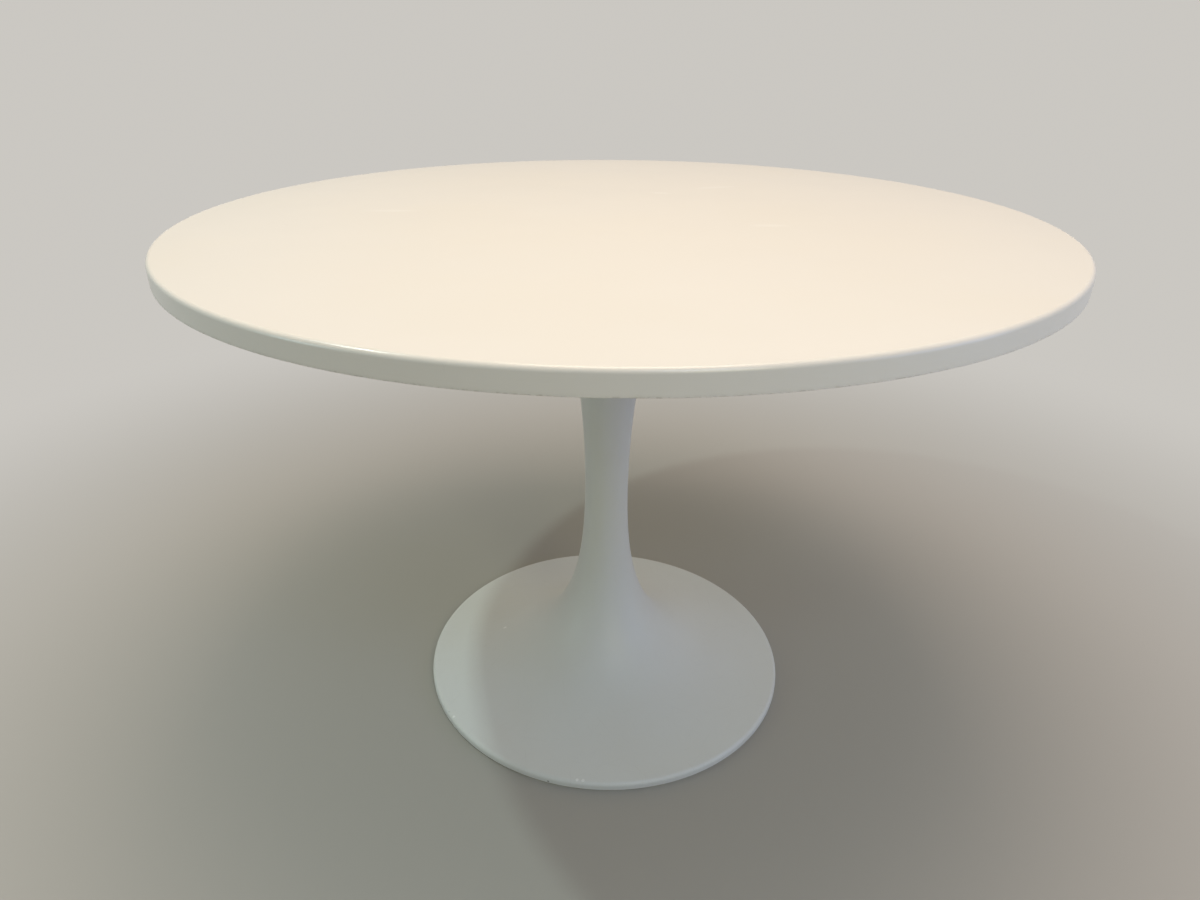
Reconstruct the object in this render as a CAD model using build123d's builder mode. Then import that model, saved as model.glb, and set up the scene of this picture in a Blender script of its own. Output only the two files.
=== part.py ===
from build123d import *
import os
from math import cos, radians, sin

# A round pedestal table: a white moulded top on a one-piece trumpet pedestal.
# Sizes are in millimetres. The origin is on the floor under the middle of the
# table, with +Z up. Every profile is drawn as radius and height and turned about Z.

# Top
table_height = 730.0
top_radius = 550.0
edge_rounding = 5.0
skin_thickness = 1.5
core_thickness = 20.0
backing_thickness = 1.5
glue_line = 0.1

# Plate, hub and gasket under the top
mounting_plate_thickness = 4.0
mounting_plate_margin = 19.0
mounting_screw_reach = 28.0
hub_radius = 16.0
hub_length = 30.0
hub_spigot_radius = 10.0
hub_thread_depth = 26.0
gasket_thickness = 2.0
gasket_inset = 2.0

# Pedestal
flange_radius = 83.0
flange_bore_radius = 58.0
flange_thickness = 8.0
waist_radius = 32.4
waist_height = 330.0
neck_reach = 199.0
foot_reach = 205.0
foot_slope = 3.0
foot_radius = 285.5
foot_gap = 3.0
lip_height = 12.0
lip_rounding = 6.0
lip_wall = 6.0
lip_chamfer = 1.0
wall = 5.0
bulkhead_height = 118.0
bulkhead_thickness = 9.0

# Base plate and its screws
base_plate_thickness = 8.0
base_plate_clearance = 1.2
boss_height = 18.0
boss_radius = 11.0
boss_floor = 5.0
base_screw_count = 6

# Levelling feet
foot_count = 6
foot_edge_margin = 18.0
foot_travel = 5.0
pad_radius = 14.0
pad_height = 3.5
pad_floor = 1.0
pad_rounding = 1.2
collar_height = 2.5
collar_flats = 13.0
stem_radius = 4.0
stem_engagement = 5.0
stem_clearance = 1.0
spigot_radius = 3.0
spigot_gap = 0.2

# Tie rod and its fittings
rod_radius = 6.0
rod_overhang = 4.0
rod_end_gap = 1.0
rod_hole_clearance = 1.0
washer_radius = 18.5
washer_thickness = 3.0
spring_washer_radius = 10.5
spring_washer_thickness = 2.5
spring_washer_split = 2.0
nut_height = 10.0
nut_flats = 18.0

# Screws
mounting_screw_count = 8
mounting_screw_radius = 2.5
mounting_screw_length = 18.0
mounting_head_radius = 4.75
mounting_head_height = 3.0
mounting_head_rounding = 1.2
base_screw_radius = 3.0
base_head_radius = 6.0
base_socket_flats = 4.0
base_socket_depth = 2.0
recess_width = 1.2
recess_depth = 1.6
recess_share = 0.6

# Clearances and small edges
thread_clearance = 0.1
running_clearance = 0.05
hole_clearance = 0.3
end_chamfer = 0.8

# Fixed numbers: degrees in a turn and in a square corner, and the share of a
# quarter circle's radius at which a smooth curve's control point stands
full_turn = 360.0
square_corner = 90.0
round_handle = 0.55
halvings = 60

# Heights of the stack, from the top down and from the floor up
top_edge_height = skin_thickness + core_thickness + backing_thickness
skin_underside = table_height - skin_thickness
core_underside = skin_underside - core_thickness
underside = table_height - top_edge_height
plate_bottom = underside - mounting_plate_thickness
pedestal_top = plate_bottom - gasket_thickness
hub_bottom = plate_bottom - hub_length
hub_thread_top = hub_bottom + hub_thread_depth
base_plate_bottom = pad_height + collar_height
base_plate_top = base_plate_bottom + base_plate_thickness
stem_top = base_plate_bottom + foot_travel + stem_engagement
washer_bottom = bulkhead_height - washer_thickness
spring_washer_bottom = washer_bottom - spring_washer_thickness
nut_bottom = spring_washer_bottom - nut_height
rod_bottom = nut_bottom - rod_overhang
rod_top = hub_thread_top - rod_end_gap
lip_top = foot_gap + lip_height

# The inner flare of the foot, as the four control points of one smooth curve
lip_inner_radius = foot_radius - lip_wall
wall_handle = round_handle * wall
slope_out = cos(radians(foot_slope))
slope_up = sin(radians(foot_slope))
inner_flare = [
    (lip_inner_radius, lip_top - wall),
    (
        lip_inner_radius - (foot_reach + wall_handle) * slope_out,
        lip_top - wall + (foot_reach + wall_handle) * slope_up,
    ),
    (waist_radius - wall, waist_height - neck_reach - wall_handle),
    (waist_radius - wall, waist_height),
]


def flare_radius(control_points, height):
    """Radius at which a flare, drawn from its rim to the waist, reaches a height."""
    low, high = 0.0, 1.0
    radius = 0.0
    for _ in range(halvings):
        share = (low + high) / 2
        points = control_points
        while len(points) > 1:
            points = [
                (a[0] + (b[0] - a[0]) * share, a[1] + (b[1] - a[1]) * share)
                for a, b in zip(points, points[1:])
            ]
        radius = points[0][0]
        if points[0][1] < height:
            low = share
        else:
            high = share
    return radius


# Circles that the pieces of the foot stand on follow the inner flare
base_plate_radius = flare_radius(inner_flare, base_plate_top + base_plate_clearance)
boss_circle = flare_radius(inner_flare, base_plate_top + boss_height)
stem_circle_limit = flare_radius(inner_flare, stem_top + stem_clearance) - stem_radius
foot_circle = min(base_plate_radius - foot_edge_margin, stem_circle_limit)
mounting_screw_circle = flange_radius + mounting_screw_reach
mounting_plate_radius = mounting_screw_circle + mounting_plate_margin
boss_angle = full_turn / base_screw_count / 2


def save(piece, name):
    """Label a finished piece and write it to its own file."""
    piece.label = name
    export_step(piece, f"parts/{name}.step")


os.makedirs("parts", exist_ok=True)

# Top: moulded skin, board and backing sheet
inner_rounding = edge_rounding - skin_thickness

with BuildPart() as top_skin:
    with BuildSketch(Plane.XZ):
        with BuildLine():
            Line((0, table_height), (top_radius - edge_rounding, table_height))
            RadiusArc(
                (top_radius - edge_rounding, table_height),
                (top_radius, table_height - edge_rounding),
                edge_rounding,
            )
            Polyline(
                (top_radius, table_height - edge_rounding),
                (top_radius, underside),
                (top_radius - skin_thickness, underside),
                (top_radius - skin_thickness, table_height - edge_rounding),
            )
            RadiusArc(
                (top_radius - skin_thickness, table_height - edge_rounding),
                (top_radius - edge_rounding, skin_underside),
                -inner_rounding,
            )
            Polyline(
                (top_radius - edge_rounding, skin_underside),
                (0, skin_underside),
                (0, table_height),
            )
        make_face()
    revolve(axis=Axis.Z)
save(top_skin.part, "top_skin")

core_radius = top_radius - skin_thickness - glue_line
screw_tip = plate_bottom + mounting_screw_length
pilot_radius = mounting_screw_radius + thread_clearance

with BuildPart() as top_core:
    with BuildSketch(Plane.XY.offset(core_underside)):
        Circle(core_radius)
    extrude(amount=core_thickness)
    fillet(top_core.edges().group_by(Axis.Z)[-1], inner_rounding)
    with BuildSketch(Plane.XY.offset(core_underside)):
        with PolarLocations(mounting_screw_circle, mounting_screw_count):
            Circle(pilot_radius)
    extrude(amount=screw_tip - core_underside, mode=Mode.SUBTRACT)
save(top_core.part, "top_core")

with BuildPart() as top_backing:
    with BuildSketch(Plane.XY.offset(underside)):
        Circle(core_radius)
        with PolarLocations(mounting_screw_circle, mounting_screw_count):
            Circle(pilot_radius, mode=Mode.SUBTRACT)
    extrude(amount=backing_thickness)
save(top_backing.part, "top_backing")

# Mounting plate with its hub and screws
with BuildPart() as mounting_plate:
    with BuildSketch(Plane.XY.offset(plate_bottom)):
        Circle(mounting_plate_radius)
        Circle(hub_spigot_radius + thread_clearance, mode=Mode.SUBTRACT)
        with PolarLocations(mounting_screw_circle, mounting_screw_count):
            Circle(mounting_screw_radius + hole_clearance, mode=Mode.SUBTRACT)
    extrude(amount=mounting_plate_thickness)
    outer_edge = mounting_plate.edges().filter_by(GeomType.CIRCLE).sort_by(SortBy.RADIUS)[-2:]
    chamfer(outer_edge.sort_by(Axis.Z)[0], end_chamfer)
save(mounting_plate.part, "mounting_plate")

with BuildPart() as mounting_hub:
    with BuildSketch(Plane.XY.offset(hub_bottom)):
        Circle(hub_radius)
    extrude(amount=hub_length)
    chamfer(mounting_hub.edges().group_by(Axis.Z)[0], end_chamfer)
    with BuildSketch(Plane.XY.offset(plate_bottom)):
        Circle(hub_spigot_radius)
    extrude(amount=mounting_plate_thickness)
    with BuildSketch(Plane.XY.offset(hub_bottom)):
        Circle(rod_radius + thread_clearance)
    extrude(amount=hub_thread_depth, mode=Mode.SUBTRACT)
save(mounting_hub.part, "mounting_hub")

with BuildPart() as mounting_screws:
    with BuildSketch(Plane.XY.offset(plate_bottom)):
        with PolarLocations(mounting_screw_circle, mounting_screw_count):
            Circle(mounting_head_radius)
    extrude(amount=-mounting_head_height)
    fillet(mounting_screws.edges().group_by(Axis.Z)[0], mounting_head_rounding)
    with BuildSketch(Plane.XY.offset(plate_bottom - mounting_head_height)):
        with PolarLocations(mounting_screw_circle, mounting_screw_count):
            Rectangle(2 * mounting_head_radius * recess_share, recess_width)
            Rectangle(recess_width, 2 * mounting_head_radius * recess_share)
    extrude(amount=recess_depth, mode=Mode.SUBTRACT)
    with BuildSketch(Plane.XY.offset(plate_bottom)):
        with PolarLocations(mounting_screw_circle, mounting_screw_count):
            Circle(mounting_screw_radius)
    extrude(amount=mounting_screw_length)
    chamfer(mounting_screws.edges().group_by(Axis.Z)[-1], end_chamfer)
save(mounting_screws.part, "mounting_screws")

with BuildPart() as column_gasket:
    with BuildSketch(Plane.XY.offset(pedestal_top)):
        Circle(flange_radius - gasket_inset)
        Circle(flange_bore_radius + gasket_inset, mode=Mode.SUBTRACT)
    extrude(amount=gasket_thickness)
save(column_gasket.part, "column_gasket")

# Pedestal: the hollow is made first, with the bulkhead and the screw bosses left out of it
boss_hole_radius = base_screw_radius + thread_clearance
boss_hole_depth = boss_height - boss_floor

with BuildPart() as pedestal_hollow:
    with BuildSketch(Plane.XZ):
        with BuildLine():
            Polyline((0, foot_gap), (lip_inner_radius, foot_gap), inner_flare[0])
            Bezier(*inner_flare)
            neck = TangentArc(
                inner_flare[-1],
                (flange_radius - wall, pedestal_top - flange_thickness),
                tangent=(0, 1),
            )
            Polyline(
                neck @ 1,
                (flange_bore_radius, pedestal_top - flange_thickness),
                (flange_bore_radius, pedestal_top),
                (0, pedestal_top),
                (0, foot_gap),
            )
        make_face()
    revolve(axis=Axis.Z)
    with BuildSketch(Plane.XY.offset(bulkhead_height)):
        Circle(foot_radius)
        Circle(rod_radius + rod_hole_clearance, mode=Mode.SUBTRACT)
    extrude(amount=bulkhead_thickness, mode=Mode.SUBTRACT)
    with BuildSketch(Plane.XY.offset(base_plate_top)):
        with PolarLocations(boss_circle, base_screw_count, start_angle=boss_angle):
            Circle(boss_radius)
    extrude(amount=bulkhead_height - base_plate_top, mode=Mode.SUBTRACT)
    with BuildSketch(Plane.XY.offset(base_plate_top)):
        with PolarLocations(boss_circle, base_screw_count, start_angle=boss_angle):
            Circle(boss_hole_radius)
    extrude(amount=boss_hole_depth)

with BuildPart() as pedestal:
    with BuildSketch(Plane.XZ):
        with BuildLine():
            Polyline(
                (0, foot_gap),
                (foot_radius - lip_chamfer, foot_gap),
                (foot_radius, foot_gap + lip_chamfer),
                (foot_radius, lip_top - lip_rounding),
            )
            lip = JernArc(
                (foot_radius, lip_top - lip_rounding),
                tangent=(0, 1),
                radius=lip_rounding,
                arc_size=square_corner - foot_slope,
            )
            Bezier(
                lip @ 1,
                lip @ 1 + lip % 1 * foot_reach,
                (waist_radius, waist_height - neck_reach),
                (waist_radius, waist_height),
            )
            neck = TangentArc(
                (waist_radius, waist_height),
                (flange_radius, pedestal_top),
                tangent=(0, 1),
            )
            Polyline(neck @ 1, (0, pedestal_top), (0, foot_gap))
        make_face()
    revolve(axis=Axis.Z)
    add(pedestal_hollow.part, mode=Mode.SUBTRACT)
save(pedestal.part, "pedestal")

# Tie rod with its washers and nut under the bulkhead
with BuildPart() as tie_rod:
    with BuildSketch(Plane.XY.offset(rod_bottom)):
        Circle(rod_radius)
    extrude(amount=rod_top - rod_bottom)
    chamfer(tie_rod.edges().filter_by(GeomType.CIRCLE), end_chamfer)
save(tie_rod.part, "tie_rod")

with BuildPart() as rod_washer:
    with BuildSketch(Plane.XY.offset(washer_bottom)):
        Circle(washer_radius)
        Circle(rod_radius + hole_clearance, mode=Mode.SUBTRACT)
    extrude(amount=washer_thickness)
save(rod_washer.part, "rod_washer")

with BuildPart() as rod_spring_washer:
    with BuildSketch(Plane.XY.offset(spring_washer_bottom)):
        Circle(spring_washer_radius)
        Circle(rod_radius + hole_clearance, mode=Mode.SUBTRACT)
        with Locations((spring_washer_radius, 0)):
            Rectangle(2 * spring_washer_radius, spring_washer_split, mode=Mode.SUBTRACT)
    extrude(amount=spring_washer_thickness)
save(rod_spring_washer.part, "rod_spring_washer")

with BuildPart() as rod_nut:
    with BuildSketch(Plane.XY.offset(nut_bottom)):
        RegularPolygon(nut_flats / 2, 6, major_radius=False)
        Circle(rod_radius + thread_clearance, mode=Mode.SUBTRACT)
    extrude(amount=nut_height)
save(rod_nut.part, "rod_nut")

# Base plate that closes the foot, with countersunk screws from below
with BuildPart() as base_plate:
    with BuildSketch(Plane.XY.offset(base_plate_bottom)):
        Circle(base_plate_radius)
        with PolarLocations(foot_circle, foot_count):
            Circle(stem_radius + running_clearance, mode=Mode.SUBTRACT)
    extrude(amount=base_plate_thickness)
    with Locations(Plane((0, 0, base_plate_bottom), x_dir=(1, 0, 0), z_dir=(0, 0, -1))):
        with PolarLocations(boss_circle, base_screw_count, start_angle=boss_angle):
            CounterSinkHole(
                base_screw_radius + hole_clearance,
                base_head_radius + hole_clearance,
                counter_sink_angle=square_corner,
            )
save(base_plate.part, "base_plate")

base_head_height = base_head_radius - base_screw_radius
base_screw_length = base_plate_thickness + boss_hole_depth - hole_clearance
upright = (Align.CENTER, Align.CENTER, Align.MIN)

with BuildPart() as base_screws:
    with Locations((0, 0, base_plate_bottom)):
        with PolarLocations(boss_circle, base_screw_count, start_angle=boss_angle):
            Cone(base_head_radius, base_screw_radius, base_head_height, align=upright)
            Cylinder(base_screw_radius, base_screw_length, align=upright)
    chamfer(base_screws.edges().group_by(Axis.Z)[-1], end_chamfer)
    with BuildSketch(Plane.XY.offset(base_plate_bottom)):
        with PolarLocations(boss_circle, base_screw_count, start_angle=boss_angle):
            RegularPolygon(base_socket_flats / 2, 6, major_radius=False)
    extrude(amount=base_socket_depth, mode=Mode.SUBTRACT)
save(base_screws.part, "base_screws")

# Levelling feet: each pad stays on the floor while its stem turns in the base plate
for number in range(foot_count):
    angle = radians(full_turn * number / foot_count)
    foot_x = foot_circle * cos(angle)
    foot_y = foot_circle * sin(angle)

    with BuildPart() as foot_pad:
        with BuildSketch(Plane((foot_x, foot_y, 0))):
            Circle(pad_radius)
        extrude(amount=pad_height)
        fillet(foot_pad.edges().group_by(Axis.Z)[-1], pad_rounding)
        with BuildSketch(Plane((foot_x, foot_y, pad_floor))):
            Circle(spigot_radius + running_clearance)
        extrude(amount=pad_height - pad_floor, mode=Mode.SUBTRACT)
    save(foot_pad.part, f"foot_pad_{number + 1}")

    with BuildPart() as foot_stem:
        with BuildSketch(Plane((foot_x, foot_y, pad_floor + spigot_gap))):
            Circle(spigot_radius)
        extrude(amount=pad_height - pad_floor - spigot_gap)
        with BuildSketch(Plane((foot_x, foot_y, pad_height))):
            RegularPolygon(collar_flats / 2, 6, major_radius=False)
        extrude(amount=collar_height)
        with BuildSketch(Plane((foot_x, foot_y, base_plate_bottom))):
            Circle(stem_radius)
        extrude(amount=stem_top - base_plate_bottom)
        chamfer(foot_stem.edges().group_by(Axis.Z)[-1], end_chamfer)
    save(foot_stem.part, f"foot_stem_{number + 1}")
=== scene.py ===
"""The looks of a round pedestal table, laid out as an add-on.

A white moulded top stands on an enamelled trumpet pedestal, with the plates,
screws, tie rod and levelling feet that hold it together. Sizes are in metres,
in the frame of the packed model: the origin is on the floor under the middle
of the table, +Z is up, and the photograph looks along +Y.
"""

import math

import bmesh
import bpy
from bpy.props import FloatProperty, FloatVectorProperty, IntProperty, PointerProperty
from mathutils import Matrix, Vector, noise


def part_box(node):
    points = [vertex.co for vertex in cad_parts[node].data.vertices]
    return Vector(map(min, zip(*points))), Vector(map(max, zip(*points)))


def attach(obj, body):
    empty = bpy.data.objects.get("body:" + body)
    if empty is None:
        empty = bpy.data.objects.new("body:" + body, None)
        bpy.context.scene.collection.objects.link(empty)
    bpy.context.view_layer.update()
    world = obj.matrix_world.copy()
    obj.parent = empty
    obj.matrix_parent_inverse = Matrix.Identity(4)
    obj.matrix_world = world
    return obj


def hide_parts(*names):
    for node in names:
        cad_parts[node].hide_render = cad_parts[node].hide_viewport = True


bl_info = {
    "name": "Round pedestal table",
    "version": (1, 0, 0),
    "blender": (4, 5, 0),
    "location": "3D View > Sidebar > Table",
    "description": "Dresses a round pedestal table with its shapes, finishes and studio",
    "category": "Add Mesh",
}

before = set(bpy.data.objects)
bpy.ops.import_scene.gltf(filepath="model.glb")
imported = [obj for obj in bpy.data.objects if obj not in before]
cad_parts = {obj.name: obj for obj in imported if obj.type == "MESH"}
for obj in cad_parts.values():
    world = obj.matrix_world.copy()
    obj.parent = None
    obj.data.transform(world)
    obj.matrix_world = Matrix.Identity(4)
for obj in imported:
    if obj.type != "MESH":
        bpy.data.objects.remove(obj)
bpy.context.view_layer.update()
top_low, top_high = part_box("top_skin")
foot_low, foot_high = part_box("pedestal")
rod_low, rod_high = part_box("tie_rod")
nut_low, nut_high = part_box("rod_nut")
plate_low, plate_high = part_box("base_plate")
pad_low, pad_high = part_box("foot_pad_1")
stem_low, stem_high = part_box("foot_stem_1")

TABLE_BODY = "table"
FOOT_COUNT = sum(name.startswith("foot_pad_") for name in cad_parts)
TURN = 2 * math.pi
SIXTH = TURN / 6

# An edge that bends by more than this looks sharp
SHARP_ANGLE = math.radians(32.0)

# The two coordinates of a point in a profile
RADIUS, HEIGHT = 0, 1


def size(name, description, default):
    """A length that a user may set."""
    return FloatProperty(name=name, description=description, default=default, unit="LENGTH", precision=4)


def level(name, description, default):
    """A plain number that a user may set."""
    return FloatProperty(name=name, description=description, default=default, min=0.0)


def turn_by(name, description, degrees):
    """An angle that a user may set."""
    return FloatProperty(
        name=name, description=description, default=math.radians(degrees), unit="ROTATION", subtype="ANGLE"
    )


def tint(name, description, default):
    """A colour that a user may set, in linear light."""
    return FloatVectorProperty(
        name=name, description=description, default=default, subtype="COLOR", size=3, min=0.0, max=1.0
    )


def spot(name, description, default):
    """A place in the frame that a user may set."""
    return FloatVectorProperty(
        name=name, description=description, default=default, subtype="TRANSLATION", unit="LENGTH", size=3
    )


class TopSettings(bpy.types.PropertyGroup):
    """Sizes and colours of the moulded top"""

    radius: size("Radius", "Radius of the top", top_high.x)
    edge_rounding: size("Edge rounding", "Radius of the rounded upper edge", 0.005)
    skin: size("Skin", "Thickness of the moulded skin", 0.0015)
    trim_rounding: size("Trimmed edge", "Rounding of the lower edge, where the skin is trimmed", 0.0004)
    trim_wander: size("Trim wander", "How far the trimmed edge wanders", 0.00025)
    segments: IntProperty(name="Segments", description="Steps round the top", default=960, min=48)
    colour: tint("Colour", "Colour of the skin", (0.865, 0.825, 0.775))
    # The aged colour also serves as the painted warm light tint in the middle of the top
    aged_colour: tint("Aged colour", "Colour of the skin where it has yellowed", (0.84, 0.79, 0.715))
    # Lighter colour of the painted reflections, oval streaks on the top
    smear_colour: tint("Smears", "Colour of the polish smears", (0.93, 0.90, 0.86))
    grime_colour: tint("Grime", "Colour of the dirt along the trimmed edge", (0.30, 0.27, 0.22))
    backing_colour: tint("Backing sheet", "Colour of the sheet under the top", (0.72, 0.70, 0.67))
    fibre_colour: tint("Backing fibres", "Colour of the fibres in that sheet", (0.58, 0.555, 0.51))
    board_colour: tint("Board", "Colour of the board inside the top", (0.55, 0.41, 0.26))
    chip_colour: tint("Board chips", "Colour of the darker chips in the board", (0.36, 0.24, 0.13))


class PedestalSettings(bpy.types.PropertyGroup):
    """Sizes and colours of the trumpet pedestal"""

    foot_radius: size("Foot radius", "Radius of the foot at its lip", foot_high.x)
    lip_height: size("Lip height", "Height of the lip above its lower edge", 0.012)
    lip_rounding: size("Lip rounding", "Radius of the rounded lip", 0.006)
    lip_chamfer: size("Lip chamfer", "Chamfer of the lip's lower edge", 0.001)
    lip_wall: size("Lip wall", "Thickness of the wall at the lip", 0.006)
    foot_slope: turn_by("Foot slope", "Slope of the foot where it leaves the lip", 3.0)
    foot_reach: size("Foot reach", "How far the foot's curve keeps to that slope", 0.205)
    neck_reach: size("Neck reach", "How far the foot's curve keeps to the upright waist", 0.199)
    waist_radius: size("Waist radius", "Radius of the column at its waist", 0.0324)
    waist_height: size("Waist height", "Height of the waist above the floor", 0.33)
    flange_radius: size("Flange radius", "Radius of the column at its top", 0.083)
    flange_bore_radius: size("Flange bore", "Radius of the opening in the column's top", 0.058)
    flange_thickness: size("Flange thickness", "Thickness of the column's top flange", 0.008)
    wall: size("Wall", "Thickness of the cast wall", 0.005)
    bulkhead_height: size("Bulkhead height", "Height of the bulkhead that the tie rod pulls on", 0.118)
    bulkhead_thickness: size("Bulkhead thickness", "Thickness of that bulkhead", 0.009)
    rod_hole_radius: size("Rod hole", "Radius of the hole in the bulkhead", 0.007)
    boss_circle: size("Boss circle", "Radius of the circle of screw bosses", 0.16277)
    boss_radius: size("Boss radius", "Radius of a screw boss", 0.011)
    boss_hole_radius: size("Boss hole", "Radius of the hole in a boss", 0.0031)
    boss_hole_depth: size("Boss hole depth", "Depth of that hole", 0.013)
    boss_count: IntProperty(name="Bosses", description="Number of screw bosses", default=6, min=1)
    segments: IntProperty(name="Segments", description="Steps round the pedestal", default=384, min=48)
    colour: tint("Colour", "Colour of the enamel", (0.79, 0.80, 0.785))
    aged_colour: tint("Aged colour", "Colour of the enamel where it has dulled", (0.77, 0.765, 0.735))
    scuff_colour: tint("Scuffs", "Colour of the shoe marks on the foot", (0.52, 0.51, 0.49))
    chip_colour: tint("Chips", "Colour of the iron in the chips of the lip", (0.10, 0.095, 0.09))
    # Lighter than the enamel: a painted highlight on the raised drip marks, where they catch the light
    drip_colour: tint("Drips", "Colour of the few drips of white paint", (0.97, 0.97, 0.96))


class FittingSettings(bpy.types.PropertyGroup):
    """Sizes and colours of the rod, nut, plates and feet"""

    rod_pitch: size("Rod pitch", "Pitch of the tie rod's thread", 0.00175)
    rod_thread: size("Rod thread", "Length of thread at each end of the tie rod", 0.034)
    stem_pitch: size("Stem pitch", "Pitch of a levelling foot's thread", 0.00125)
    stem_radius: size("Stem radius", "Radius of a levelling foot's thread", 0.004)
    spigot_radius: size("Spigot radius", "Radius of the spigot that turns in the pad", 0.003)
    collar_flats: size("Collar flats", "Width of the stem's hexagon across its flats", 0.013)
    nut_flats: size("Nut flats", "Width of the rod's nut across its flats", 0.018)
    end_chamfer: size("End chamfer", "Chamfer at the ends of threads and hexagons", 0.0008)
    pad_rounding: size("Pad rounding", "Rounding of the pad's upper edge", 0.0012)
    pad_floor: size("Pad floor", "Thickness of the pad under the spigot", 0.001)
    tread_depth: size("Tread depth", "Depth of the rings under the pad", 0.0004)
    zinc_colour: tint("Zinc", "Colour of the plated steel", (0.64, 0.635, 0.61))
    passivated_colour: tint("Passivation", "Warmer colour in the plating", (0.60, 0.56, 0.46))
    paint_colour: tint("Black paint", "Colour of the painted plate", (0.040, 0.040, 0.042))
    worn_colour: tint("Worn metal", "Colour of scratched paint and dull plating", (0.22, 0.215, 0.21))
    rubber_colour: tint("Rubber", "Colour of the gasket", (0.030, 0.030, 0.031))
    nylon_colour: tint("Nylon", "Colour of the pads", (0.042, 0.042, 0.044))
    dust_colour: tint("Dust", "Colour of the dust on rubber, nylon and paint", (0.20, 0.19, 0.175))


class StudioSettings(bpy.types.PropertyGroup):
    """Floor, lamps and camera"""

    floor_radius: size("Floor radius", "Radius of the floor", 14.0)
    floor_drop: size("Floor drop", "How far the floor lies below the pads", 0.0003)
    fade_start: size("Fade start", "Distance at which the floor starts to fade into the backdrop", 0.35)
    fade_end: size("Fade end", "Distance at which the floor has faded", 2.0)
    floor_colour: tint("Floor", "Colour of the floor", (0.47, 0.447, 0.412))
    backdrop_colour: tint("Backdrop", "Colour behind the floor", (0.595, 0.575, 0.54))
    ambient: level("Ambient level", "Strength of the light from all round", 0.555)
    front_ambient: tint("Front ambient", "Colour of the light from the viewer's side", (0.14, 0.14, 0.13))
    back_ambient: tint("Back ambient", "Colour of the light from behind the table", (1.0, 0.91, 0.74))
    under_depth: size("Under lamp", "Depth of the lamp under the floor", 1.2)
    under_width: size("Under width", "Radius of the lamp under the floor", 0.005)
    under_power: level("Under power", "Power of the lamp under the floor, in watts", 30.0)
    camera_place: spot("Camera", "Place of the camera", (-0.0316, -1.0940, 0.9383))
    camera_pitch: turn_by("Camera pitch", "How far the camera looks down", 27.08)
    camera_yaw: turn_by("Camera yaw", "How far the camera turns to the left", 0.70)
    lens: level("Lens", "Focal length in millimetres on a sensor 36 mm wide", 24.675)
    shift_x: level("Shift across", "Sideways shift of the picture, in picture widths", 0.0192)
    shift_y: level("Shift up", "Upward shift of the picture, in picture widths", 0.0055)


# What each lamp is, its place, its width, its power in watts and its colour
LAMPS = {
    "ceiling": ("warm lamp overhead", (0.1, -0.02, 2.25), 1.0, 17.6, (1.0, 0.795, 0.63)),
    "side": ("small lamp high on the left", (-1.47, -0.09, 2.6), 0.10, 12.6, (0.80, 1.0, 0.95)),
    "window": ("cool light on the right", (2.4, -1.1, 0.95), 1.6, 12.4, (0.40, 0.55, 1.0)),
    "left": ("low lamp on the left", (-2.4, -1.1, 0.95), 0.8, 5.9, (0.66, 0.94, 1.0)),
    "front": ("cool lamp over the viewer's shoulder", (0.7, -2.0, 2.4), 0.8, 9.8, (0.54, 0.71, 1.0)),
    "fill": ("pale yellow lamp beside the viewer", (0.9, -2.2, 1.6), 0.8, 8.5, (1.0, 0.97, 0.60)),
}


def lamp_settings(name, what, place, width, power, colour):
    """The four settings of one lamp."""
    label = name.capitalize()
    return {
        f"{name}_place": spot(f"{label} place", f"Place of the {what}", place),
        f"{name}_width": size(f"{label} width", f"Width of the {what}", width),
        f"{name}_power": level(f"{label} power", f"Power of the {what}, in watts", power),
        f"{name}_colour": tint(f"{label} colour", f"Colour of the {what}", colour),
    }


for lamp_name, values in LAMPS.items():
    StudioSettings.__annotations__.update(lamp_settings(lamp_name, *values))


def arc(centre, radius, start, stop, steps):
    """Points of a round stretch of a profile, between two angles in degrees."""
    points = []
    for step in range(steps + 1):
        angle = math.radians(start + (stop - start) * step / steps)
        points.append((centre[0] + radius * math.cos(angle), centre[1] + radius * math.sin(angle)))
    return points


def flare(controls, steps):
    """Points of the smooth curve that four control points draw."""
    points = []
    for step in range(steps + 1):
        layer = [Vector(control) for control in controls]
        while len(layer) > 1:
            layer = [first.lerp(second, step / steps) for first, second in zip(layer, layer[1:])]
        points.append(tuple(layer[0]))
    return points


def evenly(first, last, steps):
    """Points in a straight line from one to another, both included."""
    return [tuple(Vector(first).lerp(Vector(last), step / steps)) for step in range(steps + 1)]


def crossing(points, axis, value):
    """The point where a line of points first passes a value of its RADIUS or its HEIGHT."""
    for first, second in zip(points, points[1:]):
        low, high = sorted((first[axis], second[axis]))
        if low <= value <= high and high > low:
            share = (value - first[axis]) / (second[axis] - first[axis])
            return tuple(Vector(first).lerp(Vector(second), share))
    raise ValueError(f"the line of points never passes {value}")


def turn(mesh, profile, segments, centre=(0.0, 0.0), shape=None):
    """Turns a profile of (radius, height) points about an upright axis into a closed shell.

    A point of no radius is one vertex on the axis. Where neither end is on the axis the
    profile closes on itself. shape takes a radius, height and angle and returns the first two.
    """
    rings = []
    for radius, height in profile:
        ring = []
        for step in range(segments if radius > 0 else 1):
            angle = TURN * step / segments
            reach, rise = shape(radius, height, angle) if shape else (radius, height)
            x = centre[0] + reach * math.cos(angle)
            y = centre[1] + reach * math.sin(angle)
            ring.append(mesh.verts.new((x, y, rise)))
        rings.append(ring)
    if len(rings[0]) > 1 and len(rings[-1]) > 1:
        rings.append(rings[0])
    for lower, upper in zip(rings, rings[1:]):
        for step in range(segments):
            after = step + 1
            corners = [
                lower[step % len(lower)],
                lower[after % len(lower)],
                upper[after % len(upper)],
                upper[step % len(upper)],
            ]
            mesh.faces.new(list(dict.fromkeys(corners)))


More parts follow.
